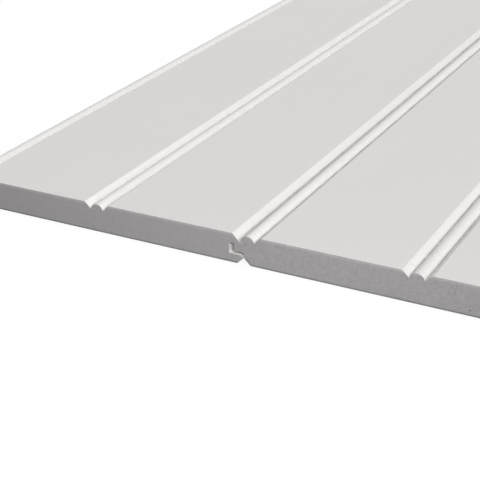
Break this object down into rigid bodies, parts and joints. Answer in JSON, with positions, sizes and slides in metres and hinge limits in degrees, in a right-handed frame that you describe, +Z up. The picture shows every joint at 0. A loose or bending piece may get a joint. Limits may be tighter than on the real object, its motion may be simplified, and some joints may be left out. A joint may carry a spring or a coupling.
{
  "type": "beadboard panel",
  "caption": "Panel of flat tongue-and-groove planks fitted edge to edge, with round beads set flush between V-grooves along the face.",
  "frame": {"origin": "middle of the panel's box, on the floor that the back lies on", "axes": "+X across the panel from the tongue edge to the groove edge, +Y along the boards, +Z up from the back to the beaded face"},
  "size_m": [0.2834, 2.4384, 0.0127],
  "materials": {
    "white_pvc": "smooth satin white foamed PVC, with a fine cellular sawn texture on the cut ends"
  },
  "bodies": {
    "root": {"left_board": "white_pvc", "right_board": "white_pvc"}
  },
  "joints": []
}
